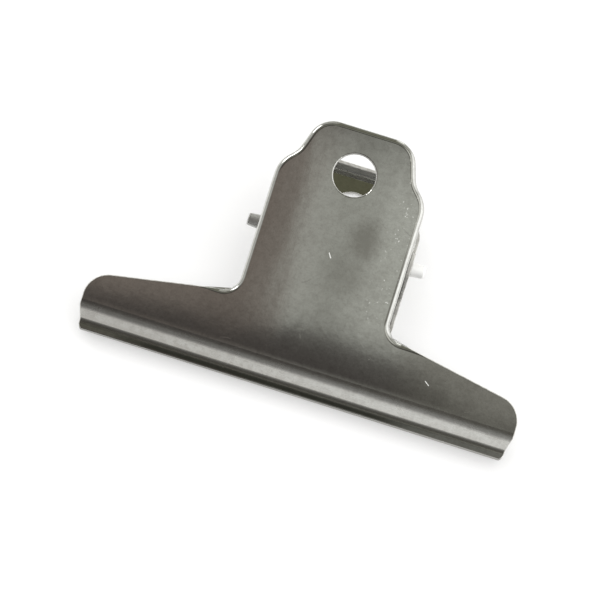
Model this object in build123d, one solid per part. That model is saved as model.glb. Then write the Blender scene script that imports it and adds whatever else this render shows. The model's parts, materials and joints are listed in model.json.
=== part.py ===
# A letter clip: two pressed steel plates that turn on one pin, held shut by a coil spring.
# It lies on its back plate. X runs along the jaws, Y from the jaws to the handles, Z up.
# A plate is drawn lying on its outer face, with Y = 0 under the pin. Sizes are millimetres.
import os
from math import acos, asin, atan2, cos, hypot, pi, radians, sin, tan

from build123d import *

# Sheet metal
sheet = 0.65
bend_radius = 0.95
rim_round = 0.25

# Handle of a plate, seen square on
handle_width = 25.9
handle_top = 19.35
neck_top_width = 16.4
neck_low_width = 20.5
neck_low = 12.8
shoulder = 10.1
top_corner_radius = 4.5
neck_radius = 4.4
shoulder_radius = 5.2
flange_depth = 2.6
hang_hole_radius = 3.6
hang_hole_height = 11.3

# Jaw of a plate, seen square on
jaw_width = 75.0
lip_width = 73.9
jaw_root = -12.75
jaw_end = -17.25
root_radius = 2.8
jaw_corner_radius = 4.3
taper_radius = 1.5
lip_corner_radius = 1.1

# Jaw of a plate, seen from the end. The angle, in degrees, is from a plate to the middle plane
jaw_angle = 11.0
jaw_bend = -22.65
taper_run = 2.3
band_run = 2.4
lip_run = 1.4
jaw_bend_radius = 2.5
valley_radius = 1.0
lip_round = 0.15
lip_margin = 0.05
jaw_gap = 0.1

# Pin, and the ears that carry it
pin_radius = 1.05
pin_height = 7.5
pin_stand_out = 2.35
pin_head_radius = 1.27
pin_tip_radius = 1.05
pin_end_round = 0.3
pin_clearance = 0.05
head_gap = 0.05
ear_radius = 2.7
ear_flare = 0.9
ear_foot_radius = 1.4
ear_gap = 0.1

# Coil spring
wire_radius = 0.65
coil_clearance = 0.4
coil_gap = 0.5
whole_turns = 7
leg_reach = 11.0
leg_clearance = 0.1

# How far the shapes that only cut run past the plate, and points on each arc for measuring
overrun = 5.0
arc_samples = 24

# Both plates are one pressing, turned round, so each handle sits half an ear to one side
handle_shift = (sheet + ear_gap) / 2
outer_ear_face = handle_width / 2 + handle_shift
jaw_slope = (jaw_root - jaw_end) / (jaw_width / 2 - handle_width / 2)
rim_top = pin_height + ear_radius + overrun
jaw_valley = jaw_bend - band_run
jaw_lip = jaw_valley - lip_run
cut_low = jaw_lip - overrun
flat_end = jaw_bend + jaw_bend_radius
lean = radians(jaw_angle)


# A face from its corners in order, each given as two coordinates and a radius
def rounded_face(corners):
    points = [(a, b) for a, b, _ in corners]
    radii = [radius for _, _, radius in corners]
    return make_face(FilletPolyline(*points, radius=radii, close=True))


# A side view as a solid across the whole width of the jaw and beyond
def across(face):
    half = jaw_width / 2 + overrun
    return extrude(Plane.YZ.offset(-half) * face, amount=2 * half)


# One side of the handle, from the shoulder to the top
def handle_corners(side):
    steps = [
        (handle_width / 2, shoulder, shoulder_radius),
        (neck_low_width / 2, neck_low, neck_radius),
        (neck_top_width / 2, handle_top, top_corner_radius),
    ]
    return [(handle_shift + side * half, y, radius) for half, y, radius in steps]


# Where one side of the handle would meet the sloping top edge of the jaw
def root_corner(side):
    x = handle_shift + side * handle_width / 2
    return x, jaw_end + (jaw_width / 2 - abs(x)) * jaw_slope


# The plate's outline: a narrow handle on a wide jaw, down to the line given
def blank_face(low, corner_radius):
    def half(side):
        x, y = root_corner(side)
        jaw = [
            (side * lip_width / 2, low, corner_radius),
            (side * lip_width / 2, jaw_bend - taper_run, taper_radius),
            (side * jaw_width / 2, jaw_bend, taper_radius),
            (side * jaw_width / 2, jaw_end, jaw_corner_radius),
            (x, y, root_radius),
        ]
        return jaw + handle_corners(side)

    return rounded_face(half(1) + half(-1)[::-1])


# The bent rim's outline: it follows the handle, then runs level and leaves the jaw's edge
def rim_face():
    wide = jaw_width / 2 + overrun
    turn = pi / 2 - atan2(jaw_slope, 1)

    def half(side):
        x, y = root_corner(side)
        level = y + root_radius * (tan(turn / 2) - 1)
        run = [(side * wide, cut_low, 0), (side * wide, level, 0), (x, level, root_radius)]
        return run + handle_corners(side)

    return rounded_face(half(1) + half(-1)[::-1])


# Side view of the rim's depth: a flange round the handle that fades out at the jaw, and an ear
def rim_depth_face():
    fade = jaw_root + root_radius
    flange = rounded_face(
        [
            (handle_top + overrun, -overrun, 0),
            (handle_top + overrun, flange_depth, 0),
            (fade, flange_depth, root_radius),
            (jaw_root, sheet, 0),
            (cut_low, sheet, 0),
            (cut_low, -overrun, 0),
        ]
    )
    foot = ear_radius + ear_flare
    rise = pin_height - flange_depth
    slant = atan2(foot, rise) - asin(ear_radius / hypot(foot, rise))
    touch = (ear_radius * cos(slant), pin_height + ear_radius * sin(slant))
    left = Polyline((-foot, -overrun), (-foot, flange_depth), (-touch[0], touch[1]))
    tip = ThreePointArc(left @ 1, (0, pin_height + ear_radius), touch)
    right = Polyline(touch, (foot, flange_depth), (foot, -overrun))
    ear = make_face([left, tip, right, Line(right @ 1, left @ 0)])
    whole = flange + ear
    feet = [whole.vertices().sort_by_distance((side * foot, flange_depth))[0] for side in (-1, 1)]
    return fillet(feet, ear_foot_radius)


# How far the lip's outer face lies behind the plate's: the two lips meet flat on the middle plane
def lip_depth(y):
    return pin_height + y * tan(lean) - (sheet + jaw_gap / 2) / cos(lean)


# The jaw's outer line seen from the end, and the same line one sheet further in
def jaw_lines():
    lip = [(y, lip_depth(y)) for y in (jaw_valley, jaw_lip)]
    outer = [(flat_end, 0), (jaw_bend, 0)] + lip
    normals = []
    for (a, b), (c, d) in zip(outer, outer[1:]):
        run = hypot(c - a, d - b)
        normals.append(((d - b) / run, (a - c) / run))
    before = normals[:1] + normals
    after = normals + normals[-1:]
    inner = []
    for (y, z), (a, b), (c, d) in zip(outer, before, after):
        share = sheet / (1 + a * c + b * d)
        inner.append((y + (a + c) * share, z + (b + d) * share))
    return outer, inner


# The bent part of the jaw as a slab across the whole width
def jaw_slab():
    outer, inner = jaw_lines()
    outer_radii = [0, jaw_bend_radius, valley_radius, lip_round]
    inner_radii = [0, jaw_bend_radius - sheet, valley_radius + sheet, lip_round]
    outside = [(y, z, radius) for (y, z), radius in zip(outer, outer_radii)]
    inside = [(y, z, radius) for (y, z), radius in zip(inner, inner_radii)]
    return across(rounded_face(outside + inside[::-1]))


# What the hanging hole removes: a round hole whose rim is rolled over on the outer face
def hang_hole():
    mouth = hang_hole_radius + rim_round
    roll = RadiusArc((mouth, 0), (hang_hole_radius, rim_round), rim_round)
    outside = Polyline((0, overrun), (0, -overrun), (mouth, -overrun), (mouth, 0))
    wall = Polyline((hang_hole_radius, rim_round), (hang_hole_radius, overrun), (0, overrun))
    return revolve(Plane.XZ * make_face([outside, roll, wall]), axis=Axis.Z)


# The jaw cut to the plate's outline, with the corners of its lip rounded
def jaw():
    slab = jaw_slab()
    low = slab.bounding_box().min.Y - lip_margin
    outline = blank_face(low, lip_corner_radius)
    return slab & Pos(0, 0, -overrun) * extrude(outline, amount=rim_top)


# One pressed plate, lying on its outer face, with its outer ear on the +X side
def pressed_plate():
    blank = extrude(blank_face(cut_low, 0), amount=rim_top)
    envelope = extrude(rim_face(), amount=rim_top)
    envelope = fillet(envelope.edges().group_by(Axis.Z)[0], bend_radius)
    hollow = Pos(0, 0, sheet) * extrude(offset(rim_face(), -sheet), amount=rim_top)
    hollow = fillet(hollow.edges().group_by(Axis.Z)[0], bend_radius - sheet)
    handle = ((blank & envelope) - hollow) & across(rim_depth_face())
    handle = split(handle, Plane.XZ.offset(-flat_end), keep=Keep.BOTTOM)
    plate = handle + jaw() - Pos(handle_shift, hang_hole_height, 0) * hang_hole()
    pin_holes = Rot(0, 90, 0) * Cylinder(pin_radius + pin_clearance, jaw_width)
    return plate - Pos(0, 0, pin_height) * pin_holes


# The pin: outside the ears it is swaged a little thicker, so that it can't slide out
def pivot_pin():
    root = outer_ear_face + head_gap
    tip = outer_ear_face + pin_stand_out
    corners = [
        (0, 0, 0),
        (0, pin_radius, 0),
        (root, pin_radius, 0),
        (root, pin_head_radius, 0),
        (tip, pin_tip_radius, pin_end_round),
        (tip, 0, 0),
    ]
    half = revolve(rounded_face(corners), axis=Axis.X)
    return Pos(0, 0, pin_height) * (half + half.mirror(Plane.YZ))


# Two tangent arcs from one point and direction to the next
def biarc(start, start_way, end, end_way):
    chord = end - start
    ways = start_way + end_way
    bend = 2 * (1 - start_way.dot(end_way))
    mixed = chord.dot(ways)
    arm = (-mixed + (mixed**2 + bend * chord.dot(chord)) ** 0.5) / bend
    middle = (start + start_way * arm + end - end_way * arm) / 2
    middle_way = (end - end_way * arm - start - start_way * arm).normalized()
    first = Edge.make_tangent_arc(start, start_way, middle)
    second = Edge.make_tangent_arc(middle, middle_way, end)
    return [first, second]


# The wire's centre line: back leg, coil round the pin, front leg
def spring_edges():
    coil_radius = pin_radius + coil_clearance + wire_radius
    foot = sheet + leg_clearance + wire_radius - pin_height
    leg_run = (leg_reach**2 + foot**2 - coil_radius**2) ** 0.5
    first = atan2(foot, leg_reach) - acos(coil_radius / hypot(foot, leg_reach))
    last = 2 * lean - first - 2 * pi
    wound = first - last + 2 * pi * whole_turns
    rise = (2 * wire_radius + coil_gap) / (2 * pi)

    def place(turned):
        angle = first - turned
        along = rise * (turned - wound / 2)
        return Vector(along, coil_radius * cos(angle), pin_height + coil_radius * sin(angle))

    def way(turned):
        angle = first - turned
        return Vector(rise, coil_radius * sin(angle), -coil_radius * cos(angle)).normalized()

    steps = round(wound / pi)
    marks = [wound * i / steps for i in range(steps + 1)]
    leg = leg_run * hypot(rise, coil_radius) / coil_radius
    edges = [Edge.make_line(place(0) - way(0) * leg, place(0))]
    for a, b in zip(marks, marks[1:]):
        edges += biarc(place(a), way(a), place(b), way(b))
    edges.append(Edge.make_line(place(wound), place(wound) + way(wound) * leg))
    return edges, coil_radius


# The least gap between turns, on points along the wire that lie over half a turn apart
def least_gap(edges, coil_radius):
    points = []
    travelled = 0
    for edge in edges:
        for i in range(arc_samples):
            share = i / arc_samples
            points.append((travelled + edge.length * share, edge @ share))
        travelled += edge.length
    gaps = [
        (p - q).length
        for i, (s, p) in enumerate(points)
        for t, q in points[i + 1 :]
        if t - s > pi * coil_radius
    ]
    return min(gaps) - 2 * wire_radius


# The spring, swept in one piece
def torsion_spring():
    edges, coil_radius = spring_edges()
    path = Wire(edges)
    section = Plane(origin=path @ 0, z_dir=path % 0) * Circle(wire_radius)
    spring = sweep(section, path=path)
    print(f"spring: least gap between turns {least_gap(edges, coil_radius):.3f} mm")
    expected = pi * wire_radius**2 * path.length
    print(f"spring: volume {spring.volume:.2f}, section times length {expected:.2f} mm3")
    return spring


# The front plate is the same pressing, turned half round about the middle plane's upright line
back_plate = pressed_plate()
middle_line = Axis((0, 0, pin_height), (0, cos(lean), sin(lean)))
parts = {
    "back_plate": back_plate,
    "front_plate": back_plate.rotate(middle_line, 180),
    "pivot_pin": pivot_pin(),
    "torsion_spring": torsion_spring(),
}

# The clip is set down with the middle of its box over the origin
box = Compound([solid for part in parts.values() for solid in part.solids()]).bounding_box()
home = Pos(-box.center().X, -box.center().Y, -box.min.Z)
print(f"box {box.size.X:.3f} x {box.size.Y:.3f} x {box.size.Z:.3f} mm, moved by {home.position}")

os.makedirs("parts", exist_ok=True)
for name, part in parts.items():
    export_step(home * part, f"parts/{name}.step")
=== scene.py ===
import json
from math import acos, atan2, cos, hypot, pi, radians, sin

import bmesh
import bpy
from mathutils import Matrix, Vector
from mathutils.bvhtree import BVHTree


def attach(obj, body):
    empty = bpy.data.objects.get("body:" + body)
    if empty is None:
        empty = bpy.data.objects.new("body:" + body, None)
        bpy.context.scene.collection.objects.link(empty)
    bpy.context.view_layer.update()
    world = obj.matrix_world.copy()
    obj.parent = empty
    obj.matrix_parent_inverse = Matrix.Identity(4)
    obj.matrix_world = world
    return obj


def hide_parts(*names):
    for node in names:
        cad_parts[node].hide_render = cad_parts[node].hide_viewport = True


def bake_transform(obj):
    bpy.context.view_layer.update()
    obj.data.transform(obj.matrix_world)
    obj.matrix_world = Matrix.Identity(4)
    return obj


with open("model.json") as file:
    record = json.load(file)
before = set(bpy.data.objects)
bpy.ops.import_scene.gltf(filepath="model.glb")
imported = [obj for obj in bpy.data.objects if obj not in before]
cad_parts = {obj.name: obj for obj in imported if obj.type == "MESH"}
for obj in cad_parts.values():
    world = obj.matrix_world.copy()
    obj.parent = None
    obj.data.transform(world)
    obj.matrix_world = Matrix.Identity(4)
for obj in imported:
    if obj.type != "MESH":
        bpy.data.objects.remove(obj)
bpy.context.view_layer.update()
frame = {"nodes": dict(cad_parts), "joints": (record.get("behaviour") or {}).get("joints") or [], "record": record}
mm = 0.001
pinCentre = Vector(frame["joints"][0]["pos_m"])
mounts = {mount["name"]: mount for mount in frame["record"]["mounts"]}
frontNormal = Vector(mounts["hang_hole_front"]["axis"])
frontTilt = atan2(-frontNormal.y, frontNormal.z)    # angle between the two plates
print("frame loaded, plates", round(frontTilt * 180 / pi, 2), "degrees apart")


def addObject(name, data):
    made = bpy.data.objects.new(name, data)
    bpy.context.scene.collection.objects.link(made)
    return made


# A socket is linked to an input, any other value is typed in
def feed(tree, socket, value):
    if isinstance(value, bpy.types.NodeSocket):
        tree.links.new(value, socket)
    else:
        socket.default_value = value


def put(tree, kind, values=None, **settings):
    made = tree.nodes.new(kind)
    for name, value in settings.items():
        setattr(made, name, value)
    for key, value in (values or {}).items():
        feed(tree, made.inputs[key], value)
    return made


def calc(tree, operation, *values, clamp=False):
    made = put(tree, "ShaderNodeMath", dict(enumerate(values)), operation=operation, use_clamp=clamp)
    return made.outputs[0]


def vectorCalc(tree, operation, *values):
    made = put(tree, "ShaderNodeVectorMath", dict(enumerate(values)), operation=operation)
    return made.outputs["Value" if operation in ("LENGTH", "DOT_PRODUCT") else "Vector"]


# 0 up to start, 1 from full on, smooth between; full may also be the lower of the two
def soft(tree, value, start, full):
    made = put(tree, "ShaderNodeMapRange", {"Value": value, "From Min": start, "From Max": full},
               interpolation_type="SMOOTHSTEP")
    return made.outputs["Result"]


def awayFrom(tree, value, level):
    return calc(tree, "ABSOLUTE", calc(tree, "SUBTRACT", value, level))


def blendColor(tree, factor, first, second):
    made = put(tree, "ShaderNodeMix", data_type="RGBA")
    for place, value in ((0, factor), (6, first), (7, second)):    # the colour sockets of a Mix node
        feed(tree, made.inputs[place], value)
    return made.outputs[2]


# A scale for each axis stretches the noise
def noise(tree, vector, scale, detail=2.0, rough=0.5):
    if isinstance(scale, tuple):
        vector, scale = vectorCalc(tree, "MULTIPLY", vector, scale), 1.0
    made = put(tree, "ShaderNodeTexNoise",
               {"Vector": vector, "Scale": scale, "Detail": detail, "Roughness": rough})
    return made.outputs["Fac"]


def newMaterial(name):
    made = bpy.data.materials.new(name)
    made.use_nodes = True
    made.node_tree.nodes.clear()
    return made, made.node_tree


def finishMaterial(tree, shader):
    put(tree, "ShaderNodeOutputMaterial", {"Surface": shader.outputs[0]})


# Millimetres on the plate itself: x along the jaws, y from the pin to the handle, z out of the plate
def plateCoords(tree, tilt):
    levelled = Matrix.Rotation(-tilt, 3, "X") @ pinCentre / mm
    spot = put(tree, "ShaderNodeTexCoord").outputs["Object"]
    made = put(tree, "ShaderNodeMapping",
               {"Vector": spot, "Location": -levelled, "Rotation": (-tilt, 0, 0), "Scale": (1 / mm,) * 3})
    return made.outputs["Vector"]


def turnedAxes(tree, vector, angle):
    turned = put(tree, "ShaderNodeVectorRotate", {"Vector": vector, "Angle": angle}, rotation_type="Z_AXIS")
    return put(tree, "ShaderNodeSeparateXYZ", {0: turned.outputs[0]}).outputs


# Short nicks, one to a cell of a Voronoi pattern, each turned its own way and a little bowed
def nicks(tree, vector, cell, length, width, share, bow):
    flat = vectorCalc(tree, "MULTIPLY", vector, (1 / cell, 1 / cell, 0.0))
    cells = put(tree, "ShaderNodeTexVoronoi", {"Vector": flat, "Scale": 1.0}, voronoi_dimensions="2D")
    away = vectorCalc(tree, "SUBTRACT", flat, cells.outputs["Position"])
    way, pick, size = put(tree, "ShaderNodeSeparateColor", {"Color": cells.outputs["Color"]}).outputs
    axes = turnedAxes(tree, away, calc(tree, "MULTIPLY", way, 2 * pi))
    along = calc(tree, "ABSOLUTE", axes[0])
    side = calc(tree, "ABSOLUTE", calc(tree, "MULTIPLY_ADD", along, bow, axes[1]))
    inLength = calc(tree, "LESS_THAN", along, calc(tree, "MULTIPLY", size, length / cell))
    inWidth = calc(tree, "SUBTRACT", 1.0, soft(tree, side, 0.0, width / cell))
    chosen = calc(tree, "LESS_THAN", pick, share)
    return calc(tree, "MULTIPLY", calc(tree, "MULTIPLY", inLength, inWidth), chosen)


# A soft round patch on the plate, 1 in its core and 0 outside its reach
def patch(tree, vector, centre, reach, core):
    away = vectorCalc(tree, "SUBTRACT", vector, (*centre, 0.0))
    away = vectorCalc(tree, "MULTIPLY", away, (1 / reach[0], 1 / reach[1], 0.0))
    return soft(tree, vectorCalc(tree, "LENGTH", away), 1.0, core)


# One straight mark on the plate: its middle, the way it points, its length and width
def mark(tree, vector, centre, way, length, width):
    axes = turnedAxes(tree, vectorCalc(tree, "SUBTRACT", vector, (*centre, 0.0)), -way)
    along = soft(tree, calc(tree, "ABSOLUTE", axes[0]), length / 2, length / 3)
    side = soft(tree, calc(tree, "ABSOLUTE", axes[1]), width / 2, 0.0)
    return calc(tree, "MULTIPLY", along, side)


# Worn nickel on the plates, in millimetres; a pair of numbers is where a thing starts and where it is full
nickelSizes = {
    "colour": (0.61, 0.612, 0.582, 1), "tarnishAndShadeTint": (0.38, 0.370, 0.345, 1),
    "scar": (0.95, 0.95, 0.93, 1), "valleyShade": (0.20, 0.20, 0.175, 1),
    "roughness": 0.075, "roughSpread": 0.06,
    # waves, peel, grain and the jaw's streaks stand in the height
    "wave": {"scale": (0.16, 0.05, 0.05), "detail": 1.0}, "waveHeight": 0.024,
    "peel": {"scale": 0.9}, "peelHeight": 0.0016,
    "grain": {"scale": (7.0, 0.45, 2.0), "detail": 3.0}, "grainHeight": 0.0005,
    "streak": {"scale": (0.10, 5.0, 5.0)}, "streakHeight": 0.0016, "streakAlong": (-22.2, -22.7),
    # tarnish: a cloud, a mottle and specks all over, darker patches in their places, the left one a painted
    # reflection of the brown wall on the left
    "cloud": {"scale": 0.10, "detail": 4.0, "rough": 0.6},
    "cloudRange": (0.45, 0.75), "cloudDepth": 0.22,
    "mottle": {"scale": 0.8, "detail": 4.0, "rough": 0.65},
    "mottleRange": (0.38, 0.66), "mottleDepth": 0.26,
    "speck": {"scale": 2.4, "rough": 0.7},
    "speckRange": (0.45, 0.72), "speckDepth": 0.24,
    "darkPatches": [    # middle, reach and depth
        ((4.6, 1.2), (4.2, 6.2), 0.92),
        # painted reflection of the brown wall on the left
        ((-10.5, 0.0), (4.0, 16.0), 0.12),
        ((3.4, -5.0), (6.5, 6.5), 0.50),
    ],
    "patchCore": 0.1,
    # scratches, scars and rubbed specks beside the right rim
    "hairline": {"cell": 4.2, "length": 1.5, "width": 0.04, "share": 0.22, "bow": 0.12},
    "hairlineDepth": 0.35,
    "nick": {"cell": 9.0, "length": 0.9, "width": 0.11, "share": 0.10, "bow": 0.12},
    "scratchHeight": 0.003, "scratchTint": 0.5, "scratchRough": 0.35,
    "scars": [    # middle, way, length and width
        ((-0.3, -2.7), 2.15, 1.2, 0.28),
        ((21.3, -18.2), 2.5, 1.2, 0.24),
    ],
    "scarMetal": 0.1,
    "rub": {"scale": 2.2, "detail": 1.0}, "rubRange": (0.66, 0.76), "rubDepth": 0.45,
    "rubAcross": (6.0, 9.8), "rubAlong": (-13.0, -9.0),
    # the jaw: painted shade on its bright band, darkest on the left and at its edges, a satin bend, painted shade
    # in the valley and on the lip
    "band": -23.9, "bandHalf": 1.15, "bandSoft": 0.25, "bandAcross": (-40.0, 30.0),
    "bandLeft": 0.66, "bandRight": 0.10, "bandEdge": 0.42,
    "satin": -23.2, "satinRange": (2.3, 0.6), "satinRough": 0.20,
    # the valley: painted shade in it, and it is rougher
    "valley": -25.2, "valleyRange": (0.62, 0.1), "valleyDepth": 0.8, "valleyRough": 0.3, "valleyShadeDepth": 0.62,
    # painted shade on the lip's end
    "lipAlong": (-26.3, -26.45),
    # the inner faces of the handle's flanges are satin
    "flangeAlong": (-11.5, -10.5), "flangeOut": (6.95, 6.55), "flangeInward": (0.0, -4.0),
    "flangeMetal": 0.55, "flangeRough": 0.265,
}


def nickelHeight(tree, spot, along, scratch, sizes):
    streak = noise(tree, spot, **sizes["streak"])
    streak = calc(tree, "MULTIPLY", streak, soft(tree, along, *sizes["streakAlong"]))
    height = calc(tree, "MULTIPLY", noise(tree, spot, **sizes["wave"]), sizes["waveHeight"])
    for name in ("peel", "grain"):
        rise = noise(tree, spot, **sizes[name])
        height = calc(tree, "MULTIPLY_ADD", rise, sizes[name + "Height"], height)
    height = calc(tree, "MULTIPLY_ADD", streak, sizes["streakHeight"], height)
    height = calc(tree, "MULTIPLY_ADD", scratch, -sizes["scratchHeight"], height)
    return put(tree, "ShaderNodeBump", {"Strength": 1.0, "Distance": mm, "Height": height}).outputs[0]


def nickelScars(tree, spot, across, along, sizes):
    rubbed = soft(tree, noise(tree, spot, **sizes["rub"]), *sizes["rubRange"])
    rubbed = calc(tree, "MULTIPLY", rubbed, soft(tree, across, *sizes["rubAcross"]))
    rubbed = calc(tree, "MULTIPLY", rubbed, soft(tree, along, *sizes["rubAlong"]))
    scar = calc(tree, "MULTIPLY", rubbed, sizes["rubDepth"])
    for centre, way, length, width in sizes["scars"]:
        scar = calc(tree, "MAXIMUM", scar, mark(tree, spot, centre, way, length, width))
    return scar


# Painted shade on the jaw's bright band: darkest at its left end, less towards the right, and more towards its two
# edges
def paintedBandShade(tree, across, along, sizes):
    away = awayFrom(tree, along, sizes["band"])
    half, edge = sizes["bandHalf"], sizes["bandSoft"]
    change = sizes["bandRight"] - sizes["bandLeft"]
    dull = calc(tree, "MULTIPLY_ADD", soft(tree, across, *sizes["bandAcross"]), change, sizes["bandLeft"])
    dull = calc(tree, "MULTIPLY_ADD", soft(tree, away, 0.0, half), sizes["bandEdge"], dull)
    return calc(tree, "MULTIPLY", dull, soft(tree, away, half + edge, half - edge))


# How far the nickel darkens: real tarnish (cloud, mottle, specks), darker patches with one painted reflection, and
# painted shade on the lip's end and the jaw
def nickelTarnishAndShade(tree, spot, along, cloud, jaw, sizes):
    tarnishAndShade = calc(tree, "MULTIPLY", soft(tree, cloud, *sizes["cloudRange"]), sizes["cloudDepth"])
    for centre, reach, depth in sizes["darkPatches"]:
        dark = patch(tree, spot, centre, reach, sizes["patchCore"])
        tarnishAndShade = calc(tree, "MAXIMUM", tarnishAndShade, calc(tree, "MULTIPLY", dark, depth))
    # painted shade on the lip's end
    tarnishAndShade = calc(tree, "MAXIMUM", tarnishAndShade, soft(tree, along, *sizes["lipAlong"]))
    tarnishAndShade = calc(tree, "MAXIMUM", tarnishAndShade, jaw)
    for name in ("mottle", "speck"):
        fine = soft(tree, noise(tree, spot, **sizes[name]), *sizes[name + "Range"])
        tarnishAndShade = calc(tree, "MULTIPLY_ADD", fine, sizes[name + "Depth"], tarnishAndShade, clamp=True)
    return tarnishAndShade


# 1 on the faces of the handle's flanges that look at the clip's middle
def innerFlange(tree, spot, along, out, tilt, sizes):
    flange = calc(tree, "MULTIPLY", soft(tree, along, *sizes["flangeAlong"]),
                  soft(tree, calc(tree, "ABSOLUTE", out), *sizes["flangeOut"]))
    normal = put(tree, "ShaderNodeTexCoord").outputs["Normal"]
    facing = put(tree, "ShaderNodeMapping", {"Vector": normal, "Rotation": (-tilt, 0, 0)},
                 vector_type="VECTOR")
    onPlate = vectorCalc(tree, "MULTIPLY", spot, (1.0, 1.0, 0.0))
    outward = vectorCalc(tree, "DOT_PRODUCT", onPlate, facing.outputs[0])
    return calc(tree, "MULTIPLY", flange, soft(tree, outward, *sizes["flangeInward"]))


def nickel(name, tilt, sizes):
    material, tree = newMaterial(name)
    spot = plateCoords(tree, tilt)
    across, along, out = put(tree, "ShaderNodeSeparateXYZ", {0: spot}).outputs
    cloud = noise(tree, spot, **sizes["cloud"])
    hairline = calc(tree, "MULTIPLY", nicks(tree, spot, **sizes["hairline"]), sizes["hairlineDepth"])
    scratch = calc(tree, "MAXIMUM", hairline, nicks(tree, spot, **sizes["nick"]))
    scar = nickelScars(tree, spot, across, along, sizes)
    satin = soft(tree, awayFrom(tree, along, sizes["satin"]), *sizes["satinRange"])
    valley = soft(tree, awayFrom(tree, along, sizes["valley"]), *sizes["valleyRange"])
    flange = innerFlange(tree, spot, along, out, tilt, sizes)
    # painted shade on the jaw: on its bright band and in its valley
    jaw = calc(tree, "MAXIMUM", paintedBandShade(tree, across, along, sizes),
               calc(tree, "MULTIPLY", valley, sizes["valleyDepth"]))
    tarnishAndShade = nickelTarnishAndShade(tree, spot, along, cloud, jaw, sizes)
    tint = blendColor(tree, tarnishAndShade, sizes["colour"], sizes["tarnishAndShadeTint"])
    # painted shade in the valley
    tint = blendColor(tree, calc(tree, "MULTIPLY", valley, sizes["valleyShadeDepth"]), tint, sizes["valleyShade"])
    bare = calc(tree, "MAXIMUM", calc(tree, "MULTIPLY", scratch, sizes["scratchTint"]), scar)
    tint = blendColor(tree, bare, tint, sizes["scar"])
    uneven = calc(tree, "SUBTRACT", cloud, 0.5)
    rough = calc(tree, "MULTIPLY_ADD", uneven, sizes["roughSpread"], sizes["roughness"])
    for part, more in ((scratch, "scratchRough"), (valley, "valleyRough"), (satin, "satinRough"),
                       (flange, "flangeRough")):
        rough = calc(tree, "MULTIPLY_ADD", part, sizes[more], rough)
    metal = calc(tree, "MULTIPLY_ADD", scar, sizes["scarMetal"] - 1.0, 1.0)
    metal = calc(tree, "MULTIPLY_ADD", flange, sizes["flangeMetal"] - 1.0, metal)
    bump = nickelHeight(tree, spot, along, scratch, sizes)
    finishMaterial(tree, put(tree, "ShaderNodeBsdfPrincipled", {
        "Base Color": tint, "Metallic": metal, "Roughness": rough, "Normal": bump}))
    print(name, "made,", len(tree.nodes), "nodes")
    return material


# Sheared edges, rubbed brighter than the faces, with painted shade at the lip
edgeSizes = {
    # lip: painted shade on the lip's edges
    "colour": (0.74, 0.735, 0.705, 1), "dull": (0.56, 0.55, 0.52, 1), "lip": (0.36, 0.355, 0.335, 1),
    "metal": 0.65, "roughness": 0.32, "roughSpread": 0.2,
    "worn": {"scale": 0.9, "detail": 3.0, "rough": 0.6}, "wornRange": (0.40, 0.62),
    "lipAlong": (-26.0, -26.3),    # mm on the plate
}


def rubbedEdge(name, tilt, sizes):
    material, tree = newMaterial(name)
    spot = plateCoords(tree, tilt)
    worn = noise(tree, spot, **sizes["worn"])
    along = put(tree, "ShaderNodeSeparateXYZ", {0: spot}).outputs[1]
    tint = blendColor(tree, soft(tree, worn, *sizes["wornRange"]), sizes["colour"], sizes["dull"])
    # painted shade on the lip's edges
    tint = blendColor(tree, soft(tree, along, *sizes["lipAlong"]), tint, sizes["lip"])
    rough = calc(tree, "MULTIPLY_ADD", worn, sizes["roughSpread"], sizes["roughness"])
    finishMaterial(tree, put(tree, "ShaderNodeBsdfPrincipled", {
        "Base Color": tint, "Metallic": sizes["metal"], "Roughness": rough}))
    print(name, "made,", len(tree.nodes), "nodes")
    return material


# A plate as a smooth pressing: a merged copy of the CAD plate that keeps its normals, with its sheared
# edges rounded off
plateSizes = {
    "merge": 0.02 * mm, "flat": 0.002,    # doubles to merge, angle up to which faces are joined
    "cutDepth": 1.05 * mm,    # more than the sheet's thickness
    "skin": 0.001 * mm,    # how far under a face its ray starts
    "sharp": radians(30), "edgeRound": 0.14 * mm, "edgeSteps": 3,
    "thrown": 0.07 * mm, "strayed": 0.30 * mm,    # furthest from the plate and from the edge it rounds
    "tiny": 0.001 * mm, "leastNormal": 0.01,    # shortest edge and shortest normal that are kept
}


# A cut face has more metal behind it than the sheet is thick
def markCuts(shell, solid, sizes):
    for face in shell.faces:
        start = face.calc_center_median() - face.normal * sizes["skin"]
        if solid.ray_cast(start, -face.normal, sizes["cutDepth"])[0] is None:
            face.material_index = 1


def shearedEdges(shell, drawn, sharp):
    found = []
    for edge in shell.edges:
        if len(edge.link_loops) == 2:
            one, two = edge.link_loops
            ends = ((one, two.link_loop_next), (one.link_loop_next, two))
            if max(a[drawn].angle(b[drawn], 0.0) for a, b in ends) > sharp:
                found.append(edge)
    return found


# Rounds the edges and puts back the corners that the rounding throws off the plate or far along it
def roundEdges(shell, solid, sheared, sizes):
    ends = [vert.co.copy() for edge in sheared for vert in edge.verts]
    lines = BVHTree.FromPolygons(ends, [(at, at + 1, at + 1) for at in range(0, len(ends), 2)])
    rounded = bmesh.ops.bevel(shell, geom=sheared, offset=sizes["edgeRound"], offset_type="OFFSET",
                              profile=0.5, segments=sizes["edgeSteps"], affect="EDGES",
                              clamp_overlap=False, loop_slide=True)
    putBack = 0
    for vert in {vert for face in rounded["faces"] for vert in face.verts}:
        # what is found holds its place first and its distance last
        line, plate = lines.find_nearest(vert.co), solid.find_nearest(vert.co)
        strayed, thrown = line[-1] > sizes["strayed"], plate[-1] > sizes["thrown"]
        if strayed or thrown:
            vert.co = line[0] if strayed else plate[0]
            putBack += 1
    bmesh.ops.dissolve_degenerate(shell, dist=sizes["tiny"], edges=shell.edges)
    return {face for face in rounded["faces"] if face.is_valid}, putBack


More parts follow.
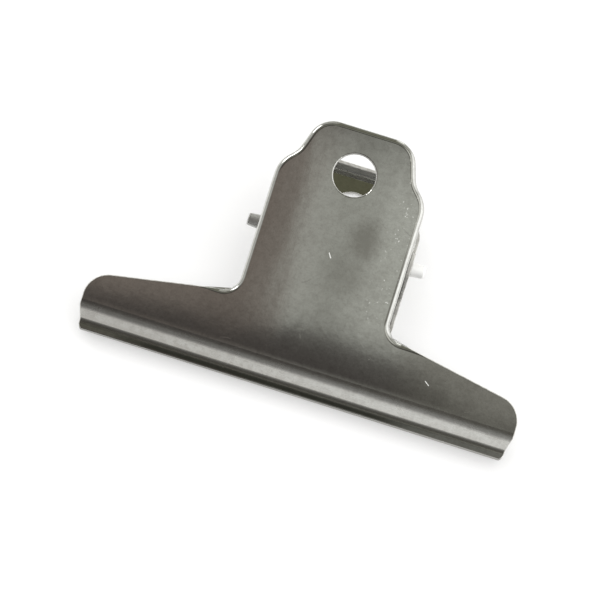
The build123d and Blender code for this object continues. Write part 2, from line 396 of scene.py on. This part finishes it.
# The faces keep the CAD's normals, and the rounded edges run from one face's to the next
def cornerNormals(shell, drawn, edgeFaces, least):
    flatNormal, edgeNormal = {}, {}
    for face in shell.faces:
        for corner in face.loops:
            held, normal = (edgeNormal, face.normal) if face in edgeFaces else (flatNormal, corner[drawn])
            held[corner.vert] = held.get(corner.vert, Vector()) + normal
    normals = []
    for face in shell.faces:
        for corner in face.loops:
            if face in edgeFaces:
                normal = flatNormal.get(corner.vert, edgeNormal[corner.vert])
            else:
                normal = corner[drawn]
            normals.append(normal.normalized() if normal.length > least else face.normal.copy())
    return normals


def pressedPlate(name, node, body, materials, sizes):
    source = frame["nodes"][node].data
    shell = bmesh.new()
    shell.from_mesh(source)
    drawn = shell.loops.layers.float_vector.new("drawn normal")
    corners = [corner for face in shell.faces for corner in face.loops]
    for corner, normal in zip(corners, source.corner_normals):
        corner[drawn] = normal.vector
    bmesh.ops.remove_doubles(shell, verts=shell.verts, dist=sizes["merge"])
    shell.normal_update()
    solid = BVHTree.FromBMesh(shell)
    markCuts(shell, solid, sizes)
    bmesh.ops.dissolve_limit(shell, angle_limit=sizes["flat"], verts=shell.verts, edges=shell.edges,
                             delimit={"MATERIAL"})
    sheared = shearedEdges(shell, drawn, sizes["sharp"])
    edgeFaces, putBack = roundEdges(shell, solid, sheared, sizes)
    for face in shell.faces:
        face.smooth = True
        if face in edgeFaces:
            face.material_index = 1
    normals = cornerNormals(shell, drawn, edgeFaces, sizes["leastNormal"])
    mesh = bpy.data.meshes.new(name)
    shell.to_mesh(mesh)
    shell.free()
    mesh.normals_split_custom_set(normals)
    mesh.attributes.remove(mesh.attributes["drawn normal"])
    for material in materials:
        mesh.materials.append(material)
    piece = addObject(name, mesh)
    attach(piece, body)
    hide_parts(node)
    print(name, "copied,", len(edgeFaces), "faces on its rounded edges,", putBack, "corners put back,",
          len(mesh.polygons), "faces")


frontNickel = nickel("nickel front", frontTilt, nickelSizes)
backNickel = nickel("nickel back", 0.0, nickelSizes)
frontEdge = rubbedEdge("rubbed edge front", frontTilt, edgeSizes)
backEdge = rubbedEdge("rubbed edge back", 0.0, edgeSizes)
pressedPlate("frontPressing", "front_plate", "front", (frontNickel, frontEdge), plateSizes)
pressedPlate("backPressing", "back_plate", "back", (backNickel, backEdge), plateSizes)

# Drawn steel: fine lines round the pin, grain on the wire, and a painted highlight that whitens the pin's right
# end
pinSteelSizes = {
    "colour": (0.62, 0.62, 0.60, 1), "dull": (0.50, 0.50, 0.48, 1), "roughness": 0.48, "roughSpread": 0.2,
    "lines": {"scale": (7000, 500, 500), "detail": 3.0}, "lineHeight": 0.004 * mm,
    "cloud": {"scale": 420.0, "detail": 3.0, "rough": 0.6}, "cloudRange": (0.40, 0.72),
    # painted highlight on the pin's right end
    "end": {"colour": (0.95, 0.95, 0.94, 1), "across": (12.5 * mm, 13.5 * mm), "metal": 0.15},
}
wireSteelSizes = {
    "colour": (0.45, 0.44, 0.42, 1), "dull": (0.27, 0.255, 0.24, 1), "roughness": 0.34, "roughSpread": 0.2,
    "lines": {"scale": (2500, 2500, 2500), "detail": 3.0}, "lineHeight": 0.003 * mm,
    "cloud": {"scale": 420.0, "detail": 3.0, "rough": 0.6}, "cloudRange": (0.40, 0.72),
}


def drawnSteel(name, sizes):
    material, tree = newMaterial(name)
    spot = put(tree, "ShaderNodeTexCoord").outputs["Object"]
    lines = noise(tree, spot, **sizes["lines"])
    cloud = noise(tree, spot, **sizes["cloud"])
    bump = put(tree, "ShaderNodeBump", {"Strength": 1.0, "Distance": sizes["lineHeight"], "Height": lines})
    tint = blendColor(tree, soft(tree, cloud, *sizes["cloudRange"]), sizes["colour"], sizes["dull"])
    metal = 1.0
    # painted highlight: the pin's right end whitened and made less metallic
    if "end" in sizes:
        end = sizes["end"]
        across = put(tree, "ShaderNodeSeparateXYZ", {0: spot}).outputs[0]
        white = soft(tree, across, *end["across"])
        tint = blendColor(tree, white, tint, end["colour"])
        metal = calc(tree, "MULTIPLY_ADD", white, end["metal"] - 1.0, 1.0)
    uneven = calc(tree, "SUBTRACT", lines, 0.5)
    rough = calc(tree, "MULTIPLY_ADD", uneven, sizes["roughSpread"], sizes["roughness"])
    finishMaterial(tree, put(tree, "ShaderNodeBsdfPrincipled", {
        "Base Color": tint, "Metallic": metal, "Roughness": rough, "Normal": bump.outputs[0]}))
    print(name, "made,", len(tree.nodes), "nodes")
    return material


pinSteel = drawnSteel("pin steel", pinSteelSizes)
for held in frame["nodes"]["pivot_pin"].material_slots:
    held.material = pinSteel

# Coil spring, wound by a rule round the pin: back leg, coil, front leg
springSizes = {
    "wireRadius": 0.65 * mm, "coilRadius": 2.1 * mm, "coilGap": 0.5 * mm, "wholeTurns": 7,
    "legReach": 11.0 * mm, "legHeight": 1.4 * mm, "endTaper": 0.72,
    "stepsPerRadian": 8, "sides": 20, "capAngle": radians(45),
}


def springTree(material):
    tree = bpy.data.node_groups.new("wound spring", "GeometryNodeTree")
    floats = ("Wire Radius", "Coil Radius", "Rise", "First Angle", "Wound Angle", "Leg Angle", "End Taper")
    for name in floats:
        tree.interface.new_socket(name, in_out="INPUT", socket_type="NodeSocketFloat")
    for name in ("Points", "Sides"):
        tree.interface.new_socket(name, in_out="INPUT", socket_type="NodeSocketInt")
    tree.interface.new_socket("Centre", in_out="INPUT", socket_type="NodeSocketVector")
    tree.interface.new_socket("Geometry", in_out="OUTPUT", socket_type="NodeSocketGeometry")
    given = put(tree, "NodeGroupInput").outputs
    line = put(tree, "GeometryNodeMeshLine", {"Count": given["Points"], "Offset": (0, 0, mm)})
    index = put(tree, "GeometryNodeInputIndex").outputs[0]
    last = calc(tree, "SUBTRACT", given["Points"], 1.0)
    share = calc(tree, "DIVIDE", index, last)
    # angle turned since the coil began: below 0 on the back leg, past the wound angle on the front leg
    run = calc(tree, "MULTIPLY_ADD", given["Leg Angle"], 2.0, given["Wound Angle"])
    turned = calc(tree, "SUBTRACT", calc(tree, "MULTIPLY", share, run), given["Leg Angle"])
    onCoil = calc(tree, "MAXIMUM", calc(tree, "MINIMUM", turned, given["Wound Angle"]), 0.0)
    onLeg = calc(tree, "SUBTRACT", turned, onCoil)
    angle = calc(tree, "SUBTRACT", given["First Angle"], onCoil)
    middle = calc(tree, "MULTIPLY", given["Wound Angle"], 0.5)
    cosine, sine = calc(tree, "COSINE", angle), calc(tree, "SINE", angle)
    x = calc(tree, "MULTIPLY", given["Rise"], calc(tree, "SUBTRACT", turned, middle))
    y = calc(tree, "MULTIPLY", given["Coil Radius"], calc(tree, "MULTIPLY_ADD", onLeg, sine, cosine))
    z = calc(tree, "MULTIPLY", given["Coil Radius"],
             calc(tree, "SUBTRACT", sine, calc(tree, "MULTIPLY", onLeg, cosine)))
    spot = put(tree, "ShaderNodeCombineXYZ", {0: x, 1: y, 2: z}).outputs[0]
    spot = vectorCalc(tree, "ADD", spot, given["Centre"])
    bent = put(tree, "GeometryNodeSetPosition", {"Geometry": line.outputs[0], "Position": spot})
    wire = put(tree, "GeometryNodeMeshToCurve", {"Mesh": bent.outputs[0]})
    ring = put(tree, "GeometryNodeCurvePrimitiveCircle",
               {"Resolution": given["Sides"], "Radius": given["Wire Radius"]})
    # the wire's two end rings are drawn in
    inner = calc(tree, "MINIMUM", index, calc(tree, "SUBTRACT", last, index))
    taper = calc(tree, "MAXIMUM", given["End Taper"], calc(tree, "MINIMUM", inner, 1.0))
    tube = put(tree, "GeometryNodeCurveToMesh", {"Curve": wire.outputs[0], "Profile Curve": ring.outputs[0],
                                                 "Scale": taper, "Fill Caps": True})
    real = put(tree, "GeometryNodeRealizeInstances", {"Geometry": tube.outputs[0]})
    finished = put(tree, "GeometryNodeSetMaterial", {"Geometry": real.outputs[0], "Material": material})
    put(tree, "NodeGroupOutput", {"Geometry": finished.outputs[0]})
    return tree


def woundSpring(name, material, sizes):
    radius, foot = sizes["coilRadius"], sizes["legHeight"] - pinCentre.z
    far = hypot(foot, sizes["legReach"])
    first = atan2(foot, sizes["legReach"]) - acos(radius / far)
    wound = 2 * first - frontTilt + 2 * pi * (sizes["wholeTurns"] + 1)
    rise = (2 * sizes["wireRadius"] + sizes["coilGap"]) / (2 * pi)
    values = {
        "Wire Radius": sizes["wireRadius"], "Coil Radius": radius, "Rise": rise,
        "First Angle": first, "Wound Angle": wound, "Leg Angle": (far**2 - radius**2) ** 0.5 / radius,
        "End Taper": sizes["endTaper"], "Points": int(sizes["stepsPerRadian"] * wound),
        "Sides": sizes["sides"], "Centre": pinCentre,
    }
    maker = addObject(name + " maker", bpy.data.meshes.new(name + " maker"))
    modifier = maker.modifiers.new("wound spring", "NODES")
    modifier.node_group = springTree(material)
    for socket in modifier.node_group.interface.items_tree:
        if socket.in_out == "INPUT":
            modifier[socket.identifier] = values[socket.name]
    mesh = bpy.data.meshes.new_from_object(maker.evaluated_get(bpy.context.evaluated_depsgraph_get()))
    bpy.data.objects.remove(maker)
    mesh.name = name
    mesh.shade_smooth()
    mesh.set_sharp_from_angle(angle=sizes["capAngle"])
    piece = addObject(name, mesh)
    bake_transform(piece)
    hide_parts("torsion_spring")
    print(name, "wound,", round(wound / 2 / pi, 2), "turns,", len(mesh.polygons), "faces")


wireSteel = drawnSteel("wire steel", wireSteelSizes)
woundSpring("coilSpring", wireSteel, springSizes)


def addSheet(name, corners, material):
    mesh = bpy.data.meshes.new(name)
    mesh.from_pydata(corners, [], [tuple(range(len(corners)))])
    mesh.materials.append(material)
    return addObject(name, mesh)


# Floor: white to the camera and in the metal, and it keeps the clip's shadow
floorSizes = {"half": 1.5, "white": (0.93, 0.93, 0.93, 1), "glow": 0.40}


def makeFloor(sizes):
    material, tree = newMaterial("white floor")
    paper = put(tree, "ShaderNodeBsdfDiffuse", {"Color": sizes["white"]})
    glow = put(tree, "ShaderNodeEmission", {"Color": (1, 1, 1, 1), "Strength": 1.0})
    path = put(tree, "ShaderNodeLightPath").outputs
    mirrored = calc(tree, "MAXIMUM", path["Is Glossy Ray"], path["Is Transmission Ray"])
    seen = calc(tree, "MAXIMUM", path["Is Camera Ray"], mirrored)
    share = calc(tree, "MULTIPLY", seen, sizes["glow"])
    mixed = put(tree, "ShaderNodeMixShader", {0: share, 1: paper.outputs[0], 2: glow.outputs[0]})
    finishMaterial(tree, mixed)
    half = sizes["half"]
    corners = [(-half, -half, 0), (half, -half, 0), (half, half, 0), (-half, half, 0)]
    floor = addSheet("floor", corners, material)
    print("floor laid")


makeFloor(floorSizes)

# A patch of ceiling over the camera, which the flat of the front plate mirrors: brown on the left, pale in
# the middle, grey on the right, and dark towards the camera
cardSizes = {
    "level": 0.42, "half": 0.30, "middle": -0.10, "fade": 0.03,    # metres
    # from left to right; a pair of numbers is where a tone starts and where it is full, in millimetres
    "brown": (0.240, 0.206, 0.185, 1),
    "tones": [
        ((-32.0, -22.0), (0.53, 0.535, 0.50, 1)),    # pale
        ((-25.0, -11.0), (0.42, 0.425, 0.392, 1)),    # olive
        ((-10.0, 9.0), (0.59, 0.60, 0.56, 1)),    # bright
        ((14.0, 34.0), (0.295, 0.288, 0.262, 1)),    # grey
    ],
    "dark": (0.073, 0.065, 0.062, 1), "rightDark": (0.120, 0.115, 0.102, 1), "rightAcross": (10.0, 45.0),
    # the line between the tones and the dark bows back at both sides, up to a drop
    "nearAlong": (-149.7, -142.7), "farAlong": (-44.0, -88.0),
    "bow": 0.0045, "drop": 7.0, "rightDrop": 6.0, "leftDrop": 3.0, "leftAcross": (-60.0, -88.0),
    # the strip that the lip mirrors
    "lip": (0.046, 0.046, 0.038, 1), "lipAlong": (-36.0, -14.0),
    "lipRight": (0.19, 0.19, 0.175, 1), "lipRightAcross": (20.0, 42.0),
    "lipLeft": (0.135, 0.13, 0.11, 1), "lipLeftAcross": (-66.0, -84.0),
    "farEnd": (0.24, 0.24, 0.21, 1), "farEndAlong": (12.0, 40.0),
    "rightEnd": (0.85, 0.85, 0.80, 1), "rightEndAcross": (70.0, 135.0), "rightEndAlong": (-114.0, -86.0),
}


def cardTone(tree, across, along, sizes):
    tone = sizes["brown"]
    for span, colour in sizes["tones"]:
        tone = blendColor(tree, soft(tree, across, *span), tone, colour)
    onRight = soft(tree, across, *sizes["rightAcross"])
    dark = blendColor(tree, onRight, sizes["dark"], sizes["rightDark"])
    drop = calc(tree, "MULTIPLY_ADD", onRight, sizes["rightDrop"], sizes["drop"])
    drop = calc(tree, "MULTIPLY_ADD", soft(tree, across, *sizes["leftAcross"]), sizes["leftDrop"], drop)
    bow = calc(tree, "MULTIPLY", calc(tree, "MULTIPLY", across, across), sizes["bow"])
    bowed = calc(tree, "ADD", calc(tree, "MINIMUM", bow, drop), along)
    lit = calc(tree, "MULTIPLY", soft(tree, bowed, *sizes["nearAlong"]),
               soft(tree, along, *sizes["farAlong"]))
    tone = blendColor(tree, lit, dark, tone)
    lip = blendColor(tree, soft(tree, across, *sizes["lipRightAcross"]), sizes["lip"], sizes["lipRight"])
    lip = blendColor(tree, soft(tree, across, *sizes["lipLeftAcross"]), lip, sizes["lipLeft"])
    tone = blendColor(tree, soft(tree, along, *sizes["lipAlong"]), tone, lip)
    tone = blendColor(tree, soft(tree, along, *sizes["farEndAlong"]), tone, sizes["farEnd"])
    beside = calc(tree, "MULTIPLY", soft(tree, across, *sizes["rightEndAcross"]),
                  soft(tree, along, *sizes["rightEndAlong"]))
    return blendColor(tree, beside, tone, sizes["rightEnd"])


def makeCard(sizes):
    half, level, middle = sizes["half"], sizes["level"], sizes["middle"]
    material, tree = newMaterial("pale ceiling")
    spot = put(tree, "ShaderNodeTexCoord").outputs["Object"]
    x, y = put(tree, "ShaderNodeSeparateXYZ", {0: spot}).outputs[:2]
    across, along = calc(tree, "MULTIPLY", x, 1 / mm), calc(tree, "MULTIPLY", y, 1 / mm)
    tone = cardTone(tree, across, along, sizes)
    edge = calc(tree, "MAXIMUM", calc(tree, "ABSOLUTE", x), awayFrom(tree, y, middle))
    share = soft(tree, edge, half, half - sizes["fade"])
    glow = put(tree, "ShaderNodeEmission", {"Color": tone, "Strength": 1.0})
    clear = put(tree, "ShaderNodeBsdfTransparent")
    mixed = put(tree, "ShaderNodeMixShader", {0: share, 1: clear.outputs[0], 2: glow.outputs[0]})
    finishMaterial(tree, mixed)
    near, far = middle - half, middle + half
    corners = [(-half, far, level), (half, far, level), (half, near, level), (-half, near, level)]
    card = addSheet("card", corners, material)
    card.visible_diffuse = False
    card.visible_shadow = False
    print("ceiling patch hung,", len(tree.nodes), "nodes")


makeCard(cardSizes)

# World: a dim ceiling, white walls in front and on the right, greyer ones on the left and behind. A pair of
# numbers is where a tone starts and where it is full, on the x or y of a direction of length 1
roomSizes = {
    "ceiling": (0.080, 0.076, 0.067, 1),
    "backCeiling": (0.135, 0.133, 0.088, 1), "backCeilingY": (0.12, 0.42),
    "leftCeiling": (0.12, 0.105, 0.10, 1), "leftCeilingX": (-0.06, -0.25),
    "rightCeiling": (0.22, 0.215, 0.195, 1), "rightCeilingX": (0.06, 0.18),
    # high behind, dimmer straight behind the clip
    "backHigh": (0.62, 0.62, 0.58, 1), "backHighY": (0.50, 0.62),
    "dimMiddle": -0.03, "dimAway": (0.02, 0.16), "dimShare": 0.22,
    "front": (0.80, 0.80, 0.80, 1), "frontLeft": (0.58, 0.58, 0.59, 1), "frontX": (-0.17, 0.07),
    "back": (0.26, 0.26, 0.235, 1), "behindY": (-0.25, 0.35),
    "strip": (2.6, 2.6, 2.55, 1), "stripLeftX": (0.03, 0.09), "stripRightX": (0.32, 0.22),
    "left": (0.62, 0.62, 0.60, 1), "leftX": (-0.45, -0.80),
    "right": (1.6, 1.6, 1.6, 1), "rightX": (0.50, 0.78),
    # how high the walls fade out
    "backTop": 0.64, "frontTop": 0.78, "frontRightTop": 1.1, "frontRightX": (0.0, 0.05),
}


def roomCeiling(tree, x, y, sizes):
    tone = blendColor(tree, soft(tree, y, *sizes["backCeilingY"]), sizes["ceiling"], sizes["backCeiling"])
    tone = blendColor(tree, soft(tree, x, *sizes["leftCeilingX"]), tone, sizes["leftCeiling"])
    tone = blendColor(tree, soft(tree, x, *sizes["rightCeilingX"]), tone, sizes["rightCeiling"])
    side = soft(tree, awayFrom(tree, x, sizes["dimMiddle"]), *sizes["dimAway"])
    side = calc(tree, "MULTIPLY_ADD", side, 1.0 - sizes["dimShare"], sizes["dimShare"])
    high = calc(tree, "MULTIPLY", soft(tree, y, *sizes["backHighY"]), side)
    return blendColor(tree, high, tone, sizes["backHigh"])


def makeRoom(sizes):
    world = bpy.data.worlds.new("studio")
    bpy.context.scene.world = world
    world.use_nodes = True
    tree = world.node_tree
    tree.nodes.clear()
    way = put(tree, "ShaderNodeTexCoord").outputs["Generated"]
    x, y, z = put(tree, "ShaderNodeSeparateXYZ", {0: way}).outputs
    behind = soft(tree, y, *sizes["behindY"])
    change = sizes["frontRightTop"] - sizes["frontTop"]
    top = calc(tree, "MULTIPLY_ADD", soft(tree, x, *sizes["frontRightX"]), change, sizes["frontTop"])
    top = calc(tree, "MULTIPLY_ADD", behind, calc(tree, "SUBTRACT", sizes["backTop"], top), top)
    low = calc(tree, "SUBTRACT", 1.0, calc(tree, "DIVIDE", z, top, clamp=True))
    front = blendColor(tree, soft(tree, x, *sizes["frontX"]), sizes["frontLeft"], sizes["front"])
    strip = calc(tree, "MULTIPLY", soft(tree, x, *sizes["stripLeftX"]),
                 soft(tree, x, *sizes["stripRightX"]))
    back = blendColor(tree, strip, sizes["back"], sizes["strip"])
    wall = blendColor(tree, behind, front, back)
    tone = blendColor(tree, calc(tree, "MULTIPLY", low, low), roomCeiling(tree, x, y, sizes), wall)
    tone = blendColor(tree, soft(tree, x, *sizes["leftX"]), tone, sizes["left"])
    tone = blendColor(tree, soft(tree, x, *sizes["rightX"]), tone, sizes["right"])
    glow = put(tree, "ShaderNodeBackground", {"Color": tone, "Strength": 1.0})
    put(tree, "ShaderNodeOutputWorld", {"Surface": glow.outputs[0]})
    print("room made,", len(tree.nodes), "nodes")


makeRoom(roomSizes)

# Lamps: a small one behind on the left for the glints, and a wide one overhead for the floor, which the
# metal doesn't mirror
lampSizes = {
    "glint": {"place": (-0.55, 0.35, 0.40), "size": 0.26, "power": 0.9, "mirrored": True},
    "overhead": {"place": (0.0, 0.0, 1.0), "size": 1.6, "power": 13.5, "mirrored": False},
}


def makeLamp(name, sizes):
    data = bpy.data.lights.new(name, "AREA")
    data.size = sizes["size"]
    data.energy = sizes["power"]
    lamp = addObject(name, data)
    lamp.visible_glossy = sizes["mirrored"]
    lamp.location = sizes["place"]
    lamp.rotation_euler = (-Vector(sizes["place"])).to_track_quat("-Z", "Y").to_euler()
    print(name, "lamp hung,", sizes["power"], "W")


for lampName, lamp in lampSizes.items():
    makeLamp(lampName, lamp)

# Camera, fitted to the photograph's outline
cameraSizes = {
    "azimuth": radians(-4.723), "elevation": radians(63.173), "roll": radians(13.113), "distance": 0.350,
    "aim": (-2.898 * mm, -8.525 * mm, 8.142 * mm), "lens": 126.04, "sensor": 36.0, "clip": (0.01, 10.0),
}


def makeCamera(sizes):
    data = bpy.data.cameras.new("camera")
    data.lens = sizes["lens"]
    data.sensor_width = sizes["sensor"]
    data.clip_start, data.clip_end = sizes["clip"]
    camera = addObject("camera", data)
    azimuth, elevation, roll = sizes["azimuth"], sizes["elevation"], sizes["roll"]
    look = Vector((sin(azimuth) * cos(elevation), cos(azimuth) * cos(elevation), -sin(elevation)))
    level = look.cross(Vector((0, 0, 1))).normalized()
    rise = level.cross(look)
    right = level * cos(roll) + rise * sin(roll)
    up = rise * cos(roll) - level * sin(roll)
    turn = Matrix((right, up, -look)).transposed()
    place = Vector(sizes["aim"]) - look * sizes["distance"]
    camera.matrix_world = Matrix.Translation(place) @ turn.to_4x4()
    bpy.context.scene.camera = camera
    print("camera set,", sizes["lens"], "mm lens")


makeCamera(cameraSizes)
bpy.context.scene.view_settings.view_transform = "Standard"
